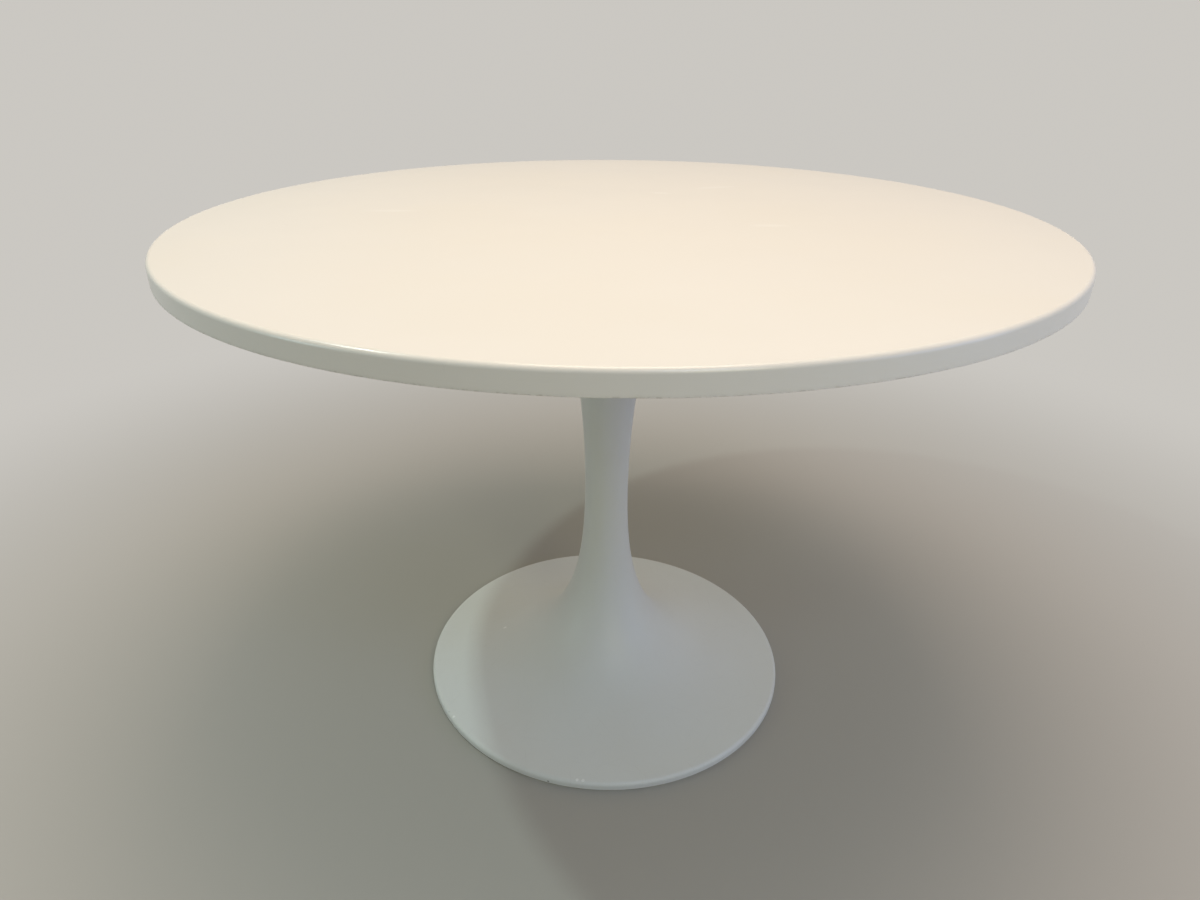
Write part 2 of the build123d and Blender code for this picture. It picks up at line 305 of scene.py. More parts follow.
def put(name, data):
    """Makes an object of some data and puts it in the scene."""
    made = bpy.data.objects.new(name, data)
    bpy.context.scene.collection.objects.link(made)
    return made


def put_mesh(mesh, name, material):
    """Makes an object of a mesh, with its finish, and puts it in the scene."""
    data = bpy.data.meshes.new(name)
    mesh.to_mesh(data)
    mesh.free()
    data.materials.append(material)
    return put(name, data)


def piece(mesh, name, material, body, nodes):
    """Makes an object of a mesh, gives it its finish and lets it stand for CAD nodes."""
    bmesh.ops.recalc_face_normals(mesh, faces=mesh.faces)
    for face in mesh.faces:
        face.smooth = True
    for edge in mesh.edges:
        edge.smooth = edge.calc_face_angle(0.0) < SHARP_ANGLE
    made = put_mesh(mesh, name, material)
    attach(made, body)
    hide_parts(*nodes)


def dress(node, material):
    """Gives a CAD node that stays in view its finish."""
    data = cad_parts[node].data
    data.materials.clear()
    data.materials.append(material)


def hexagon_radius(flats, angle):
    """Distance from the middle of a hexagon to its side, with a corner at angle zero."""
    return flats / 2 / math.cos(angle % SIXTH - SIXTH / 2)


def hexagon_sizes(flats):
    """Half of a hexagon's widths across flats and corners, and the height of its 30 degree chamfer."""
    flat = flats / 2
    corner = flats / math.sqrt(3)
    return flat, corner, (corner - flat) / math.sqrt(3)


# A thread's depth and the widths of its flat crest and its two flanks, in shares of the pitch
THREAD_DEPTH = 0.61
THREAD_FLAT = 0.125
THREAD_FLANK = 0.75


def thread_radius(outer, pitch, height, angle):
    """Radius of a right-hand screw thread at a height and an angle."""
    share = (height / pitch - angle / TURN) % 1.0
    flank = (abs(2 * share - 1) - THREAD_FLAT) / THREAD_FLANK
    return outer - THREAD_DEPTH * pitch * min(1.0, max(0.0, flank))


class Wire:
    """An output of a shader node, for use in Python expressions."""

    def __init__(self, nodes, socket):
        self.nodes = nodes
        self.socket = socket

    def joined(self, operation, first, second):
        """A Math node on two numbers or wires."""
        return self.nodes.add("ShaderNodeMath", {"operation": operation}, {0: first, 1: second})

    def __add__(self, other):
        return self.joined("ADD", self, other)

    def __radd__(self, other):
        return self.joined("ADD", other, self)

    def __sub__(self, other):
        return self.joined("SUBTRACT", self, other)

    def __rsub__(self, other):
        return self.joined("SUBTRACT", other, self)

    def __mul__(self, other):
        return self.joined("MULTIPLY", self, other)

    def __or__(self, other):
        return self.joined("MAXIMUM", self, other)

    def between(self, low, high):
        """A smooth step from 0 at low to 1 at high, falling where high is the lesser."""
        return self.nodes.add(
            "ShaderNodeMapRange",
            {"interpolation_type": "SMOOTHSTEP"},
            {"Value": self, "From Min": low, "From Max": high},
        )


class Nodes:
    """A node tree that grows by one node at a time."""

    def __init__(self, tree):
        self.tree = tree

    def add(self, kind, settings=None, sockets=None, output=0):
        """Adds a node, sets it up, feeds its sockets and returns one of its outputs."""
        made = self.tree.nodes.new(kind)
        for key, value in (settings or {}).items():
            setattr(made, key, value)
        for key, value in (sockets or {}).items():
            self.feed(made.inputs[key], value)
        return Wire(self, made.outputs[output])

    def feed(self, socket, value):
        """Links a wire to a socket, or sets a plain value on it."""
        if isinstance(value, Wire):
            self.tree.links.new(value.socket, socket)
        elif socket.type == "RGBA":
            socket.default_value = (*value, 1.0)
        else:
            socket.default_value = value

    def mix(self, share, first, second):
        """A colour between two colours, on the sockets that a Mix node keeps for colours."""
        return self.add("ShaderNodeMix", {"data_type": "RGBA"}, {0: share, 6: first, 7: second}, output=2)


class Finish(Nodes):
    """A material whose shader takes expressions on places of the surface."""

    def __init__(self, name):
        self.material = bpy.data.materials.new(name)
        self.material.use_nodes = True
        super().__init__(self.material.node_tree)
        self.place = self.add("ShaderNodeTexCoord", output="Object")

    def height(self):
        """Height of the surface above the floor."""
        return self.add("ShaderNodeSeparateXYZ", sockets={"Vector": self.place}, output="Z")

    def away(self, place=None):
        """Distance of the surface, or of other places, from their origin."""
        return self.add(
            "ShaderNodeVectorMath", {"operation": "LENGTH"}, {0: place or self.place}, output="Value"
        )

    def noise(self, scale, detail=2.0, place=None):
        """Soft random values, scale to the metre, spread about a half."""
        return self.add(
            "ShaderNodeTexNoise", None, {"Vector": place or self.place, "Scale": scale, "Detail": detail}
        )

    def stretched(self, lengths, angle=0.0, centre=(0.0, 0.0, 0.0)):
        """Places from a centre, turned about Z and counted in a length of their own along each axis."""
        return self.add(
            "ShaderNodeMapping",
            {"vector_type": "TEXTURE"},
            {"Vector": self.place, "Location": centre, "Rotation": (0.0, 0.0, angle), "Scale": lengths},
        )

    def scratches(self, directions, length, width, rarity, first=0.4, softness=0.05):
        """Fine lines in several directions, as a mask. A higher rarity leaves fewer of them."""
        lines = 0.0
        for direction in range(directions):
            place = self.stretched((length, width, length), math.pi * direction / directions + first)
            lines = self.noise(1.0, detail=1.0, place=place).between(rarity, rarity + softness) | lines
        return lines

    def ragged(self, size, scale):
        """The surface's places, moved about by up to a size, for marks with uneven outlines."""
        push = self.add("ShaderNodeTexNoise", None, {"Vector": self.place, "Scale": scale}, output="Color")
        return self.add(
            "ShaderNodeVectorMath",
            {"operation": "MULTIPLY_ADD"},
            {0: push, 1: (size, size, size), 2: self.place},
        )

    def mark(self, place, centre, radius, core=0.6):
        """A mask of one small mark round a centre."""
        away = self.add(
            "ShaderNodeVectorMath", {"operation": "DISTANCE"}, {0: place, 1: centre}, output="Value"
        )
        return away.between(radius, radius * core)

    def smear(self, centre, half_lengths, degrees, core=0.3):
        """A mask of one soft oval mark, turned about Z."""
        place = self.stretched(half_lengths, math.radians(degrees), centre)
        return self.away(place).between(1.0, core)

    def bump(self, height, depth):
        """A normal for a height of 0 to 1 that stands for a depth in metres."""
        return self.add("ShaderNodeBump", None, {"Strength": 1.0, "Distance": depth, "Height": height})

    def shade(self, sockets):
        """Feeds the material's shader and returns the material."""
        shader = self.tree.nodes["Principled BSDF"]
        for key, value in sockets.items():
            self.feed(shader.inputs[key], value)
        return self.material


def made_once(make, settings):
    """The material that a function makes, under the function's name."""
    return bpy.data.materials.get(make.__name__) or make(settings)


# Painted reflections on the top, as lighter oval streaks: the middle of each, half its length and its turn
# in degrees
REFLECTION_STREAK_WIDTH = 0.011
PAINTED_REFLECTIONS = (
    ((-0.295, 0.034), 0.046, 0.0),
    ((0.078, 0.178), 0.022, -14.0),
    ((0.165, 0.230), 0.048, 18.0),
    ((0.193, -0.057), 0.032, 0.0),
)

# How much further from the origin than the middle of the top the painted warm light tint in its middle ends
WARM_LIGHT_TINT_REACH = 0.16

# How high the dirt reaches above the trimmed edge
GRIME_HEIGHT = 0.0024


def moulded_white(top):
    """Semi-gloss warm white skin with a little random yellowing and scuffs, dirty along its trimmed edge,
    with a painted warm light tint in its middle and painted reflections as lighter oval streaks.
    """
    finish = Finish("moulded_white")
    clouds = finish.noise(3.0, detail=3.0)
    streaks = finish.noise(1.0, detail=3.0, place=finish.stretched((0.11, 0.11, 0.0019)))
    scuffs = finish.scratches(4, length=0.09, width=0.0011, rarity=0.75)
    # The middle mask is a painted warm light tint, strongest in the middle of the top; the clouds are real
    # random yellowing
    middle = finish.away().between(top_high.z + WARM_LIGHT_TINT_REACH, top_high.z)
    yellowing_and_warm_light = clouds.between(0.42, 0.68) * 0.35 + middle * 0.45
    edge = finish.height().between(top_low.z + GRIME_HEIGHT, top_low.z + top.trim_rounding)
    grime = edge * finish.noise(190.0, detail=4.0).between(0.42, 0.66)
    colour = finish.mix(yellowing_and_warm_light, top.colour, top.aged_colour)
    colour = finish.mix(streaks.between(0.45, 0.75) * 0.12, colour, top.aged_colour)
    colour = finish.mix(scuffs * 0.03 | grime * 0.35, colour, top.grime_colour)
    # Painted reflections: lighter oval streaks on the top
    painted_reflections = 0.0
    for (x, y), half_length, degrees in PAINTED_REFLECTIONS:
        painted_reflections = finish.smear((x, y, top_high.z), (half_length, REFLECTION_STREAK_WIDTH, REFLECTION_STREAK_WIDTH), degrees) | painted_reflections
    colour = finish.mix(painted_reflections * 0.35, colour, top.smear_colour)
    return finish.shade(
        {
            "Base Color": colour,
            "Roughness": 0.16 + clouds * 0.08 + streaks * 0.05 + scuffs * 0.02 + grime * 0.35,
            "Normal": finish.bump(finish.noise(11.0, detail=0.0) - scuffs * 0.005, depth=0.00003),
            "Specular IOR Level": 0.45,
        }
    )


def balancing_sheet(top):
    """Matt sheet under the top, with short fibres pressed into it."""
    finish = Finish("balancing_sheet")
    fibres = finish.scratches(5, length=0.012, width=0.0007, rarity=0.62)
    clouds = finish.noise(6.0, detail=4.0)
    colour = finish.mix(clouds.between(0.3, 0.7) * 0.2, top.backing_colour, top.fibre_colour)
    colour = finish.mix(fibres * 0.45, colour, top.fibre_colour)
    return finish.shade(
        {
            "Base Color": colour,
            "Roughness": 0.62 + clouds * 0.12 + fibres * 0.10,
            "Normal": finish.bump(fibres + finish.noise(420.0) * 0.5, depth=0.00003),
        }
    )


def pressed_board(top):
    """Board of pressed wood chips, as it shows at a hole or a cut."""
    finish = Finish("pressed_board")
    chips = finish.add(
        "ShaderNodeTexVoronoi", None, {"Vector": finish.stretched((0.0038, 0.0038, 0.0016)), "Scale": 1.0}
    )
    dark = chips.between(0.2, 0.7)
    colour = finish.mix(dark, top.board_colour, top.chip_colour)
    return finish.shade(
        {
            "Base Color": colour,
            "Roughness": 0.74 + finish.noise(300.0) * 0.16,
            "Normal": finish.bump(1 - dark, depth=0.0003),
        }
    )


def around(degrees, radius, height):
    """A place at an angle about the table's axis."""
    angle = math.radians(degrees)
    return radius * math.cos(angle), radius * math.sin(angle), height


# Bearings of the larger marks on the foot, in degrees
LIP_CHIP = -106.6
# Raised drip marks, painted lighter than the enamel as highlights
LIP_DRIP_GLINTS = (-145.2, -98.3, -96.6)
FOOT_DRIP_GLINT = 170.1


def satin_enamel(pedestal):
    """Satin white enamel on cast iron: faint orange peel, shoe scuffs on the foot, a worn lip, and raised
    drip marks painted lighter than the enamel as highlights.
    """
    finish = Finish("satin_enamel")
    lip_top = foot_low.z + pedestal.lip_height
    clouds = finish.noise(4.5, detail=4.0)
    dapple = finish.noise(70.0, detail=3.0)
    on_foot = finish.height().between(0.11, 0.03)
    scuffs = finish.scratches(5, length=0.05, width=0.0016, rarity=0.70) * on_foot
    on_lip = finish.height().between(lip_top + 0.001, lip_top - 0.004)
    ragged = finish.ragged(size=0.002, scale=260.0)
    lip_middle = pedestal.foot_radius - pedestal.lip_rounding
    chips = on_lip * finish.noise(110.0, detail=3.0).between(0.73, 0.76)
    lip_chip = around(LIP_CHIP, pedestal.foot_radius, height=0.0071)
    chips = finish.mark(ragged, lip_chip, radius=0.0022) | chips
    # Raised drip marks, whose lighter colour is a painted highlight
    foot_drip_glint = around(FOOT_DRIP_GLINT, radius=0.170, height=0.0347)
    raised_drips_and_glints = finish.mark(ragged, foot_drip_glint, radius=0.0034)
    for degrees in LIP_DRIP_GLINTS:
        raised_drips_and_glints = finish.mark(ragged, around(degrees, lip_middle, lip_top), radius=0.0027) | raised_drips_and_glints
    colour = finish.mix(clouds.between(0.38, 0.68) * 0.6, pedestal.colour, pedestal.aged_colour)
    colour = finish.mix(dapple.between(0.55, 0.8) * 0.12, colour, pedestal.aged_colour)
    colour = finish.mix(scuffs * 0.07, colour, pedestal.scuff_colour)
    colour = finish.mix(chips * 0.85, colour, pedestal.chip_colour)
    # Painted highlight: the drip marks are lighter than the enamel
    colour = finish.mix(raised_drips_and_glints, colour, pedestal.drip_colour)
    height = finish.noise(230.0) * 0.30 + finish.noise(26.0) - chips * 2.0 + raised_drips_and_glints * 3.0
    return finish.shade(
        {
            "Base Color": colour,
            "Roughness": 0.36 + clouds * 0.10 + dapple * 0.06 + scuffs * 0.16 + chips * 0.3 - raised_drips_and_glints * 0.15,
            "Normal": finish.bump(height, depth=0.00005),
            "Specular IOR Level": 0.45,
        }
    )


def zinc_plate(fittings):
    """Zinc-plated steel with uneven passivation, drawing marks and a few dull spots."""
    finish = Finish("zinc_plate")
    passivated = finish.noise(45.0, detail=4.0).between(0.35, 0.7)
    drawn = finish.noise(1.0, detail=2.0, place=finish.stretched((0.011, 0.011, 0.0004)))
    spots = finish.noise(190.0, detail=3.0).between(0.66, 0.74)
    colour = finish.mix(passivated * 0.55, fittings.zinc_colour, fittings.passivated_colour)
    colour = finish.mix(spots * 0.5, colour, fittings.worn_colour)
    return finish.shade(
        {
            "Base Color": colour,
            "Metallic": 1.0 - spots * 0.4,
            "Roughness": 0.28 + drawn * 0.16 + spots * 0.25,
            "Normal": finish.bump(drawn + finish.noise(900.0) * 0.5, depth=0.000012),
        }
    )


def black_paint(fittings):
    """Textured black paint on a steel plate, scratched where it has been stood on."""
    finish = Finish("black_paint")
    grain = finish.noise(620.0, detail=3.0)
    wear = finish.scratches(5, length=0.05, width=0.0012, rarity=0.73)
    dust = finish.noise(9.0, detail=5.0).between(0.5, 0.75)
    colour = finish.mix(dust * 0.10, fittings.paint_colour, fittings.dust_colour)
    colour = finish.mix(wear * 0.35, colour, fittings.worn_colour)
    return finish.shade(
        {
            "Base Color": colour,
            "Roughness": 0.48 + grain * 0.14 + dust * 0.12 - wear * 0.10,
            "Normal": finish.bump(grain - wear * 0.4, depth=0.00006),
        }
    )


def black_rubber(fittings):
    """Matt black rubber with a bloom of dust."""
    finish = Finish("black_rubber")
    bloom = finish.noise(60.0, detail=5.0).between(0.45, 0.75)
    colour = finish.mix(bloom * 0.25, fittings.rubber_colour, fittings.dust_colour)
    return finish.shade(
        {
            "Base Color": colour,
            "Roughness": 0.78 + bloom * 0.14,
            "Normal": finish.bump(finish.noise(1400.0), depth=0.00005),
        }
    )


def black_nylon(fittings):
    """Moulded black nylon, rubbed grey on the sole."""
    finish = Finish("black_nylon")
    sole = finish.height().between(0.0008, 0.0)
    rubbed = sole * finish.scratches(4, length=0.008, width=0.0004, rarity=0.55)
    colour = finish.mix(rubbed * 0.7 | sole * 0.15, fittings.nylon_colour, fittings.dust_colour)
    return finish.shade(
        {
            "Base Color": colour,
            "Roughness": 0.46 + finish.noise(500.0) * 0.10 + rubbed * 0.25,
            "Normal": finish.bump(finish.noise(1100.0) - rubbed * 0.5, depth=0.00002),
        }
    )


# Ripples of the trimmed edge: how many to the metre, and their share of its wander
TRIM_RIPPLES = ((30.0, 0.6), (140.0, 0.4))


class TABLE_OT_moulded_top(bpy.types.Operator):
    """Make the moulded top and finish the board and sheet inside it"""

    bl_idname = "table.moulded_top"
    bl_label = "Moulded top"

    def execute(self, context):
        top = context.scene.table_top
        upper = top_high.z - top.edge_rounding
        edge = top.radius - top.edge_rounding
        inside = top.radius - top.skin
        trim = top.trim_rounding

        def wander(radius, height, angle):
            """Lets the trimmed lower edge wander in and up a little."""
            if radius < inside - trim or height > top_low.z + 2 * trim:
                return radius, height
            along = Vector((math.cos(angle), math.sin(angle), 0.0)) * top.radius
            amount = sum(share * noise.noise(along * ripples) for ripples, share in TRIM_RIPPLES)
            lift = top.trim_wander * max(0.0, amount)
            return radius - lift / 2, height + lift

        profile = evenly((0.0, top_high.z), (edge, top_high.z), steps=9)[:-1]
        profile += arc((edge, upper), top.edge_rounding, 90.0, 0.0, steps=16)
        profile += evenly((top.radius, upper), (top.radius, top_low.z + trim), steps=6)[1:-1]
        profile += arc((top.radius - trim, top_low.z + trim), trim, 0.0, -90.0, steps=5)
        profile += [(inside, top_low.z)]
        profile += arc((edge, upper), top.edge_rounding - top.skin, 0.0, 90.0, steps=8)
        profile += [(0.0, top_high.z - top.skin)]
        mesh = bmesh.new()
        turn(mesh, profile, top.segments, shape=wander)
        piece(mesh, "moulded_top", made_once(moulded_white, top), TABLE_BODY, ["top_skin"])
        dress("top_core", made_once(pressed_board, top))
        dress("top_backing", made_once(balancing_sheet, top))
        return {"FINISHED"}


def outer_side(pedestal):
    """The pedestal's outside, from its lower edge to its top."""
    low = foot_low.z
    lip_top = low + pedestal.lip_height
    lip = arc(
        (pedestal.foot_radius - pedestal.lip_rounding, lip_top - pedestal.lip_rounding),
        pedestal.lip_rounding,
        0.0,
        90.0 - math.degrees(pedestal.foot_slope),
        steps=14,
    )
    start = Vector(lip[-1])
    slope = Vector((-math.cos(pedestal.foot_slope), math.sin(pedestal.foot_slope)))
    waist = Vector((pedestal.waist_radius, pedestal.waist_height))
    neck = waist - Vector((0.0, pedestal.neck_reach))
    foot = flare([start, start + slope * pedestal.foot_reach, neck, waist], steps=72)
    column = column_side(waist, pedestal.flange_radius, foot_high.z)
    lower_edge = [
        (pedestal.foot_radius - pedestal.lip_chamfer, low),
        (pedestal.foot_radius, low + pedestal.lip_chamfer),
    ]
    return lower_edge + lip[:-1] + foot[:-1] + column


def column_side(waist, radius, height):
    """One side of the column: a round stretch that leaves the waist upright."""
    across = radius - waist.x
    rise = height - waist.y
    bend = (across**2 + rise**2) / (2 * across)
    sweep = math.degrees(math.asin(rise / bend))
    return arc((waist.x + bend, waist.y), bend, 180.0, 180.0 - sweep, steps=32)


# How much further the inside's curve keeps to its slopes than the outside's, in wall thicknesses
HANDLE_SHARE = 0.55


def inner_side(pedestal):
    """The pedestal's inside, from the lip to the waist and from the waist to the flange."""
    lip_inside = Vector(
        (pedestal.foot_radius - pedestal.lip_wall, foot_low.z + pedestal.lip_height - pedestal.wall)
    )
    handle = HANDLE_SHARE * pedestal.wall
    slope = Vector((-math.cos(pedestal.foot_slope), math.sin(pedestal.foot_slope)))
    waist = Vector((pedestal.waist_radius - pedestal.wall, pedestal.waist_height))
    neck = waist - Vector((0.0, pedestal.neck_reach + handle))
    slope_end = lip_inside + slope * (pedestal.foot_reach + handle)
    foot = flare([lip_inside, slope_end, neck, waist], steps=64)
    flange_underside = foot_high.z - pedestal.flange_thickness
    return foot, column_side(waist, pedestal.flange_radius - pedestal.wall, flange_underside)


class TABLE_OT_trumpet_pedestal(bpy.types.Operator):
    """Make the hollow trumpet pedestal with its bulkhead and screw bosses"""

    bl_idname = "table.trumpet_pedestal"
    bl_label = "Trumpet pedestal"

    def execute(self, context):
        pedestal = context.scene.table_pedestal
        foot, column = inner_side(pedestal)
        bulkhead_low = pedestal.bulkhead_height
        bulkhead_high = bulkhead_low + pedestal.bulkhead_thickness
        profile = outer_side(pedestal)
        profile += [
            (pedestal.flange_bore_radius, foot_high.z),
            (pedestal.flange_bore_radius, foot_high.z - pedestal.flange_thickness),
        ]
        profile += column[::-1]
        profile += [point for point in foot[-2::-1] if point[HEIGHT] > bulkhead_high]
        profile += [
            crossing(foot, HEIGHT, bulkhead_high),
            (pedestal.rod_hole_radius, bulkhead_high),
            (pedestal.rod_hole_radius, bulkhead_low),
            crossing(foot, HEIGHT, bulkhead_low),
        ]
        profile += [point for point in foot[::-1] if point[HEIGHT] < bulkhead_low]
        profile += [(pedestal.foot_radius - pedestal.lip_wall, foot_low.z)]
        mesh = bmesh.new()
        turn(mesh, profile, pedestal.segments)
        for number in range(pedestal.boss_count):
            self.boss(mesh, pedestal, foot, TURN * (number + 0.5) / pedestal.boss_count)
        material = made_once(satin_enamel, pedestal)
        piece(mesh, "trumpet_pedestal", material, TABLE_BODY, ["pedestal"])
        return {"FINISHED"}

    def boss(self, mesh, pedestal, foot, bearing):
        """Adds one boss, whose top runs into the underside of the foot."""
        centre = (pedestal.boss_circle * math.cos(bearing), pedestal.boss_circle * math.sin(bearing))
        low = plate_high.z
        hole_top = low + pedestal.boss_hole_depth
        ceiling = hole_top + pedestal.boss_radius
        sunk = pedestal.wall / 4

        def meet_foot(radius, height, angle):
            """Lifts the upper end of the boss into the wall above it."""
            if height < ceiling:
                return radius, height
            reach = math.hypot(centre[0] + radius * math.cos(angle), centre[1] + radius * math.sin(angle))
            return radius, crossing(foot, RADIUS, reach)[HEIGHT] + sunk

        profile = [
            (0.0, hole_top),
            (pedestal.boss_hole_radius, hole_top),
            (pedestal.boss_hole_radius, low),
            (pedestal.boss_radius, low),
            (pedestal.boss_radius, ceiling),
            (pedestal.boss_radius / 2, ceiling),
            (0.0, ceiling),
        ]
        turn(mesh, profile, segments=48, centre=centre, shape=meet_foot)


class TABLE_OT_mounting_plate(bpy.types.Operator):
    """Finish the mounting plate, its hub and screws, and the gasket on the column"""

    bl_idname = "table.mounting_plate"
    bl_label = "Mounting plate"

    def execute(self, context):
        fittings = context.scene.table_fittings
        for node in ("mounting_plate", "mounting_hub", "mounting_screws"):
            dress(node, made_once(zinc_plate, fittings))
        dress("column_gasket", made_once(black_rubber, fittings))
        return {"FINISHED"}


# Steps to one turn of a thread
THREAD_STEPS = 12

# Gaps round the tie rod in its nut and round a stem's spigot in its pad
NUT_CLEARANCE = 0.0001
SOCKET_CLEARANCE = 0.00005


class TABLE_OT_tie_rod(bpy.types.Operator):
    """Make the tie rod with its threads and its nut, and finish the washers"""

    bl_idname = "table.tie_rod"
    bl_label = "Tie rod"

    def execute(self, context):
        fittings = context.scene.table_fittings
        zinc = made_once(zinc_plate, fittings)
        self.rod(fittings, zinc)
        self.nut(fittings, zinc)
        for node in ("rod_washer", "rod_spring_washer"):
            dress(node, zinc)
        return {"FINISHED"}

    def rod(self, fittings, zinc):
        """A plain shank with a thread at each end."""
        radius = rod_high.x
        chamfer = fittings.end_chamfer
        low_end = rod_low.z + fittings.rod_thread
        high_end = rod_high.z - fittings.rod_thread
        steps = round(fittings.rod_thread / fittings.rod_pitch * THREAD_STEPS)

        def threaded(reach, height, angle):
            """Cuts the thread into the two ends."""
            if low_end <= height <= high_end:
                return reach, height
            return min(reach, thread_radius(radius, fittings.rod_pitch, height, angle)), height

        profile = [(0.0, rod_low.z), (radius - chamfer, rod_low.z)]
        profile += evenly((radius, rod_low.z + chamfer), (radius, low_end), steps)
        profile += evenly((radius, high_end), (radius, rod_high.z - chamfer), steps)
        profile += [(radius - chamfer, rod_high.z), (0.0, rod_high.z)]
        mesh = bmesh.new()
        turn(mesh, profile, segments=32, shape=threaded)
        piece(mesh, "threaded_tie_rod", zinc, TABLE_BODY, ["tie_rod"])

    def nut(self, fittings, zinc):
        """A hexagon nut with chamfered corners and a countersunk bore."""
        bore = rod_high.x + NUT_CLEARANCE
        flat, corner, rise = hexagon_sizes(fittings.nut_flats)
        chamfer = fittings.end_chamfer

        def hexagonal(radius, height, angle):
            """Keeps the outside within the hexagon."""
            return min(radius, hexagon_radius(fittings.nut_flats, angle)), height

        profile = [(bore, nut_low.z + chamfer), (bore + chamfer, nut_low.z)]
        profile += evenly((flat, nut_low.z), (corner, nut_low.z + rise), steps=6)
        profile += evenly((corner, nut_high.z - rise), (flat, nut_high.z), steps=6)
        profile += [(bore + chamfer, nut_high.z), (bore, nut_high.z - chamfer)]
        mesh = bmesh.new()
        turn(mesh, profile, segments=96, shape=hexagonal)
        piece(mesh, "hexagon_rod_nut", zinc, TABLE_BODY, ["rod_nut"])


class TABLE_OT_base_plate(bpy.types.Operator):
    """Finish the plate that closes the foot, and its screws"""

    bl_idname = "table.base_plate"
    bl_label = "Base plate"

    def execute(self, context):
        fittings = context.scene.table_fittings
        dress("base_plate", made_once(black_paint, fittings))
        dress("base_screws", made_once(zinc_plate, fittings))
        return {"FINISHED"}


# The rings in a pad's sole and the rims and floor of the groove round its top, in shares of its radius
SOLE_RINGS = (0.30, 0.55)
GROOVE_RIMS = (0.75, 0.61)
GROOVE_FLOOR = (0.72, 0.64)


class TABLE_OT_levelling_feet(bpy.types.Operator):
    """Make the nylon pads and the threaded stems that turn in them"""

    bl_idname = "table.levelling_feet"
    bl_label = "Levelling feet"

    def execute(self, context):
        fittings = context.scene.table_fittings
        for number in range(1, FOOT_COUNT + 1):
            low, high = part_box(f"foot_pad_{number}")
            centre = (low + high) / 2
            self.pad(fittings, number, centre)
            self.stem(fittings, number, centre)
        return {"FINISHED"}

    def pad(self, fittings, number, centre):
        """A round pad with a rounded shoulder, a socket for the stem and rings in its sole."""
        radius = (pad_high.x - pad_low.x) / 2
        rounding = fittings.pad_rounding
        depth = fittings.tread_depth
        socket = fittings.spigot_radius + SOCKET_CLEARANCE
        profile = [(0.0, 0.0)]
        for share in SOLE_RINGS:
            ring = share * radius
            profile += [(ring, 0.0), (ring + depth, depth)]
            profile += [(ring + 3 * depth, depth), (ring + 4 * depth, 0.0)]
        profile += arc((radius - depth, depth), depth, -90.0, 0.0, steps=5)
        profile += arc((radius - rounding, pad_high.z - rounding), rounding, 0.0, 90.0, steps=8)
        profile += [
            (GROOVE_RIMS[0] * radius, pad_high.z),
            (GROOVE_FLOOR[0] * radius, pad_high.z - depth),
            (GROOVE_FLOOR[1] * radius, pad_high.z - depth),
            (GROOVE_RIMS[1] * radius, pad_high.z),
            (socket + depth, pad_high.z),
            (socket, pad_high.z - depth),
            (socket, fittings.pad_floor),
            (0.0, fittings.pad_floor),
        ]
        mesh = bmesh.new()
        turn(mesh, profile, segments=72, centre=centre)
        nylon = made_once(black_nylon, fittings)
        node = f"foot_pad_{number}"
        piece(mesh, f"nylon_pad_{number}", nylon, node, [node])

    def stem(self, fittings, number, centre):
        """A spigot, a hexagon collar and a thread in one piece."""
        collar_low = pad_high.z
        collar_high = plate_low.z
        flat, corner, rise = hexagon_sizes(fittings.collar_flats)
        chamfer = fittings.end_chamfer
        thread = fittings.stem_radius
        steps = round((stem_high.z - collar_high) / fittings.stem_pitch * THREAD_STEPS)

        def screwed(radius, height, angle):
            """Keeps the collar within its hexagon and cuts the thread above it."""
            if height <= collar_high:
                return min(radius, hexagon_radius(fittings.collar_flats, angle)), height
            return min(radius, thread_radius(thread, fittings.stem_pitch, height, angle)), height

        profile = [
            (0.0, stem_low.z),
            (fittings.spigot_radius, stem_low.z),
            (fittings.spigot_radius, collar_low),
        ]
        profile += evenly((flat, collar_low), (corner, collar_low + rise), steps=5)
        profile += evenly((corner, collar_high - rise), (flat, collar_high), steps=5)
        profile += evenly((thread, collar_high), (thread, stem_high.z - chamfer), steps)
        profile += [(thread - chamfer, stem_high.z), (0.0, stem_high.z)]
        mesh = bmesh.new()
        turn(mesh, profile, segments=48, centre=centre, shape=screwed)
        zinc = made_once(zinc_plate, fittings)
        node = f"foot_stem_{number}"
        piece(mesh, f"threaded_stem_{number}", zinc, node, [node])


# Width of the camera's sensor in millimetres, and half the width of the soft step at the world's horizon
SENSOR_WIDTH = 36.0
HORIZON = 0.02


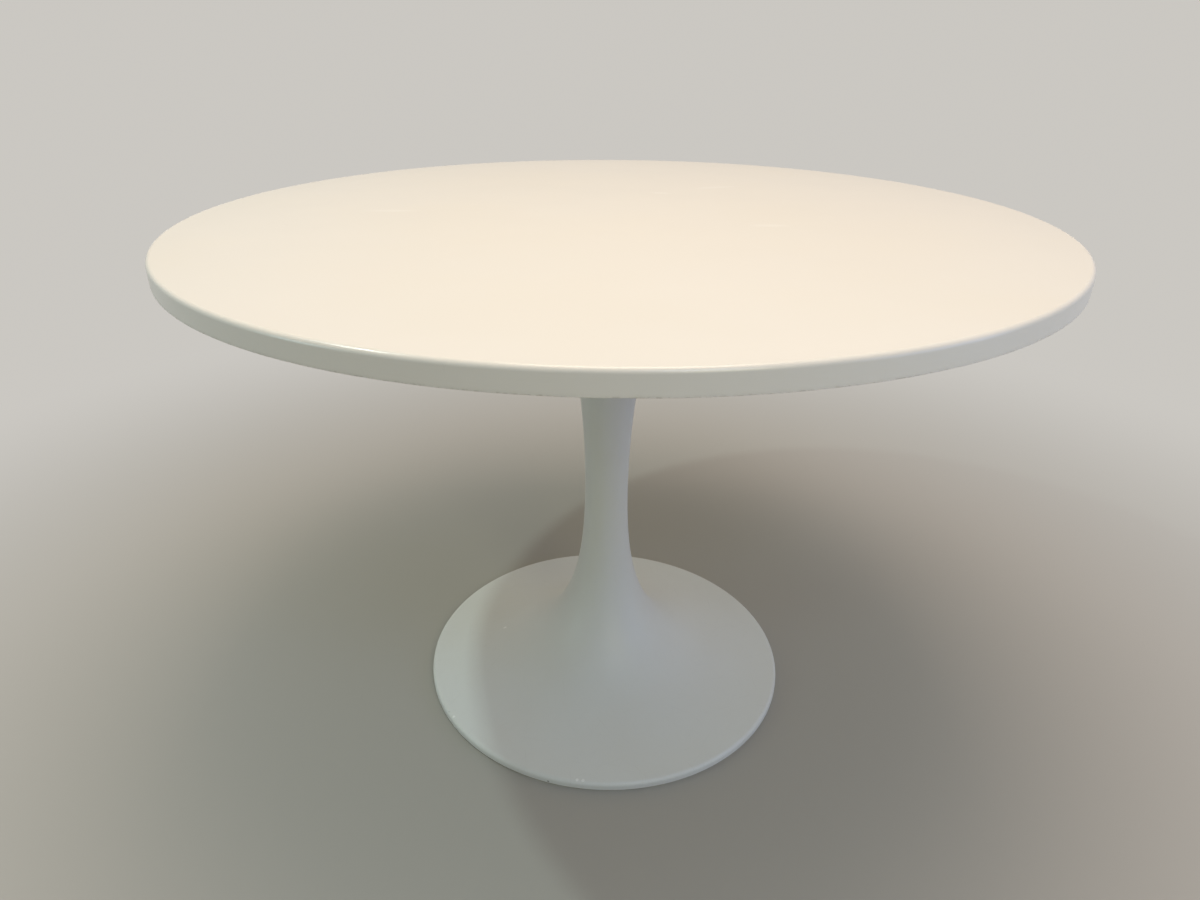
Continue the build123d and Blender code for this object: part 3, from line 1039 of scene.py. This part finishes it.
class TABLE_OT_studio(bpy.types.Operator):
    """Make the floor, the lamps, the backdrop and the camera"""

    bl_idname = "table.studio"
    bl_label = "Studio"

    def execute(self, context):
        studio = context.scene.table_studio
        context.scene.view_settings.view_transform = "Standard"
        self.floor(studio)
        self.backdrop(context, studio)
        straight_down = Vector((studio.ceiling_place[0], studio.ceiling_place[1], 0.0))
        middle = Vector((0.0, 0.0, top_low.z / 2))
        for name in LAMPS:
            self.lamp(name, studio, straight_down if name == "ceiling" else middle)
        self.under_lamp(context, studio)
        self.camera(context, studio)
        return {"FINISHED"}

    def floor(self, studio):
        """A pale round floor that fades into the backdrop and can be looked through from below."""
        finish = Finish("studio_floor")
        far = finish.away().between(studio.fade_start, studio.fade_end)
        glow = finish.add("ShaderNodeEmission", None, {"Color": studio.backdrop_colour, "Strength": 1.0})
        ground = finish.add("ShaderNodeBsdfDiffuse", None, {"Color": studio.floor_colour})
        faded = finish.add("ShaderNodeMixShader", None, {0: far * self.seen(finish), 1: ground, 2: glow})
        under = finish.add("ShaderNodeNewGeometry", output="Backfacing")
        lit = finish.add("ShaderNodeLightPath", output="Is Shadow Ray")
        clear = finish.add("ShaderNodeBsdfTransparent")
        shown = finish.add("ShaderNodeMixShader", None, {0: under | lit, 1: faded, 2: clear})
        finish.feed(finish.tree.nodes["Material Output"].inputs["Surface"], shown)
        mesh = bmesh.new()
        bmesh.ops.create_circle(mesh, cap_ends=True, segments=128, radius=studio.floor_radius)
        floor = put_mesh(mesh, "studio_floor", finish.material)
        floor.location.z = -studio.floor_drop

    def seen(self, nodes):
        """One for a ray from the camera, or one that mirrors or passes on what the camera sees."""
        path = nodes.add("ShaderNodeLightPath", output="Is Camera Ray")
        outputs = path.socket.node.outputs
        return path | Wire(nodes, outputs["Is Glossy Ray"]) | Wire(nodes, outputs["Is Transmission Ray"])

    def backdrop(self, context, studio):
        """A world that lights softly and shows a pale backdrop."""
        world = bpy.data.worlds.new("studio_backdrop")
        world.use_nodes = True
        context.scene.world = world
        nodes = Nodes(world.node_tree)
        direction = nodes.add("ShaderNodeTexCoord", output="Generated")
        behind = nodes.add("ShaderNodeSeparateXYZ", sockets={"Vector": direction}, output="Y")
        above = Wire(nodes, behind.socket.node.outputs["Z"])
        ambient = nodes.mix(behind.between(-1.0, 1.0), studio.front_ambient, studio.back_ambient)
        ambient = nodes.mix(above.between(-HORIZON, HORIZON), (0.0, 0.0, 0.0), ambient)
        light = nodes.add("ShaderNodeBackground", None, {"Color": ambient, "Strength": studio.ambient})
        pale = nodes.add("ShaderNodeBackground", None, {"Color": studio.backdrop_colour, "Strength": 1.0})
        shown = nodes.add("ShaderNodeMixShader", None, {0: self.seen(nodes), 1: light, 2: pale})
        nodes.feed(world.node_tree.nodes["World Output"].inputs["Surface"], shown)

    def lamp(self, name, studio, target):
        """A square lamp that looks at a target."""
        data = bpy.data.lights.new(f"{name}_lamp", "AREA")
        data.size = getattr(studio, f"{name}_width")
        data.energy = getattr(studio, f"{name}_power")
        data.color = getattr(studio, f"{name}_colour")
        lamp = put(f"{name}_lamp", data)
        lamp.location = getattr(studio, f"{name}_place")
        lamp.rotation_euler = (target - lamp.location).to_track_quat("-Z", "Y").to_euler()

    def under_lamp(self, context, studio):
        """A lamp under the floor that lights the foot's underside alone."""
        reach = foot_high.x - context.scene.table_pedestal.lip_wall - studio.under_width
        data = bpy.data.lights.new("under_lamp", "SPOT")
        data.energy = studio.under_power
        data.shadow_soft_size = studio.under_width
        data.spot_size = 2 * math.atan2(reach, studio.under_depth)
        data.spot_blend = 0.0
        lamp = put("under_lamp", data)
        lamp.location.z = -studio.under_depth
        lamp.rotation_euler.x = math.radians(180.0)

    def camera(self, context, studio):
        """The camera, as the photograph was taken."""
        data = bpy.data.cameras.new("camera")
        data.sensor_width = SENSOR_WIDTH
        data.lens = studio.lens
        data.shift_x = studio.shift_x
        data.shift_y = studio.shift_y
        camera = put("camera", data)
        camera.location = studio.camera_place
        camera.rotation_euler = (math.radians(90.0) - studio.camera_pitch, 0.0, studio.camera_yaw)
        context.scene.camera = camera


PIECES = (
    TABLE_OT_moulded_top,
    TABLE_OT_trumpet_pedestal,
    TABLE_OT_mounting_plate,
    TABLE_OT_tie_rod,
    TABLE_OT_base_plate,
    TABLE_OT_levelling_feet,
    TABLE_OT_studio,
)
SETTINGS = {
    "table_top": TopSettings,
    "table_pedestal": PedestalSettings,
    "table_fittings": FittingSettings,
    "table_studio": StudioSettings,
}


class TABLE_PT_pieces(bpy.types.Panel):
    """The pieces of the table and their settings"""

    bl_idname = "TABLE_PT_pieces"
    bl_label = "Round pedestal table"
    bl_space_type = "VIEW_3D"
    bl_region_type = "UI"
    bl_category = "Table"

    def draw(self, context):
        for operator in PIECES:
            self.layout.operator(operator.bl_idname)
        for key, group in SETTINGS.items():
            box = self.layout.box()
            box.label(text=group.__doc__)
            for name in group.__annotations__:
                box.prop(getattr(context.scene, key), name)


def register():
    """Adds the settings, the operators and the panel."""
    for key, group in SETTINGS.items():
        bpy.utils.register_class(group)
        setattr(bpy.types.Scene, key, PointerProperty(type=group))
    for operator in PIECES:
        bpy.utils.register_class(operator)
    bpy.utils.register_class(TABLE_PT_pieces)


def unregister():
    """Takes the panel, the operators and the settings away again."""
    bpy.utils.unregister_class(TABLE_PT_pieces)
    for operator in reversed(PIECES):
        bpy.utils.unregister_class(operator)
    for key, group in SETTINGS.items():
        delattr(bpy.types.Scene, key)
        bpy.utils.unregister_class(group)


def main():
    """Builds every piece and the studio."""
    register()
    bpy.ops.table.moulded_top()
    bpy.ops.table.trumpet_pedestal()
    bpy.ops.table.mounting_plate()
    bpy.ops.table.tie_rod()
    bpy.ops.table.base_plate()
    bpy.ops.table.levelling_feet()
    bpy.ops.table.studio()


if __name__ == "__main__":
    main()
